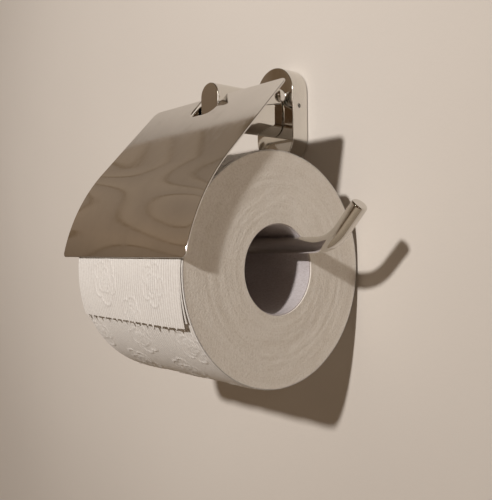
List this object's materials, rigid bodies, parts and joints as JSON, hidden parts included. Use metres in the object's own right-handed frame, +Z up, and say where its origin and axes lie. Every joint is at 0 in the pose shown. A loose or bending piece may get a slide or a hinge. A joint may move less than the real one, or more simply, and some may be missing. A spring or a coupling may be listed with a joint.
{
  "type": "toilet paper holder",
  "caption": "Wall-mounted toilet paper holder: oblong plate and post, bent rod arm carrying a full roll, and a curved flap lid that lifts on a hinge.",
  "frame": {"origin": "on the wall, at the centre of the wall plate's back", "axes": "+X to the right along the wall, +Y into the wall, +Z up"},
  "size_m": [0.1489, 0.1505, 0.1726],
  "materials": {
    "polished_chrome": "mirror polished chrome plate",
    "fixing_steel": "zinc plated steel",
    "plug_nylon": "moulded grey nylon",
    "washer_nylon": "moulded white nylon",
    "core_board": "spiral wound grey board",
    "toilet_paper": "soft embossed tissue"
  },
  "bodies": {
    "holder": {"wall_bracket": "fixing_steel", "wall_screw_upper": "fixing_steel", "wall_screw_lower": "fixing_steel", "wall_plug_upper": "plug_nylon", "wall_plug_lower": "plug_nylon", "wall_plate": "polished_chrome", "plate_grub_screw": "fixing_steel", "post": "polished_chrome", "post_screw": "fixing_steel", "post_washer": "fixing_steel", "roll_arm": "polished_chrome", "arm_grub_screw": "fixing_steel", "hinge_pin": "polished_chrome", "hinge_cap": "polished_chrome", "hinge_washer_left": "washer_nylon", "hinge_washer_right": "washer_nylon", "loose_sheet": "toilet_paper"},
    "lid": {"lid": "polished_chrome", "lid_bracket": "polished_chrome"},
    "roll": {"roll_core": "core_board", "paper_roll": "toilet_paper"}
  },
  "joints": [
    {"name": "lid_hinge", "type": "hinge", "parent": "holder", "child": "lid", "pos_m": [0, -0.017, 0.0092], "axis": [-1, 0, 0], "range_deg": [0, 105]},
    {"name": "roll_spin", "type": "hinge", "parent": "holder", "child": "roll", "pos_m": [0.0045, -0.0587, -0.0868], "axis": [1, 0, 0], "continuous": true}
  ]
}
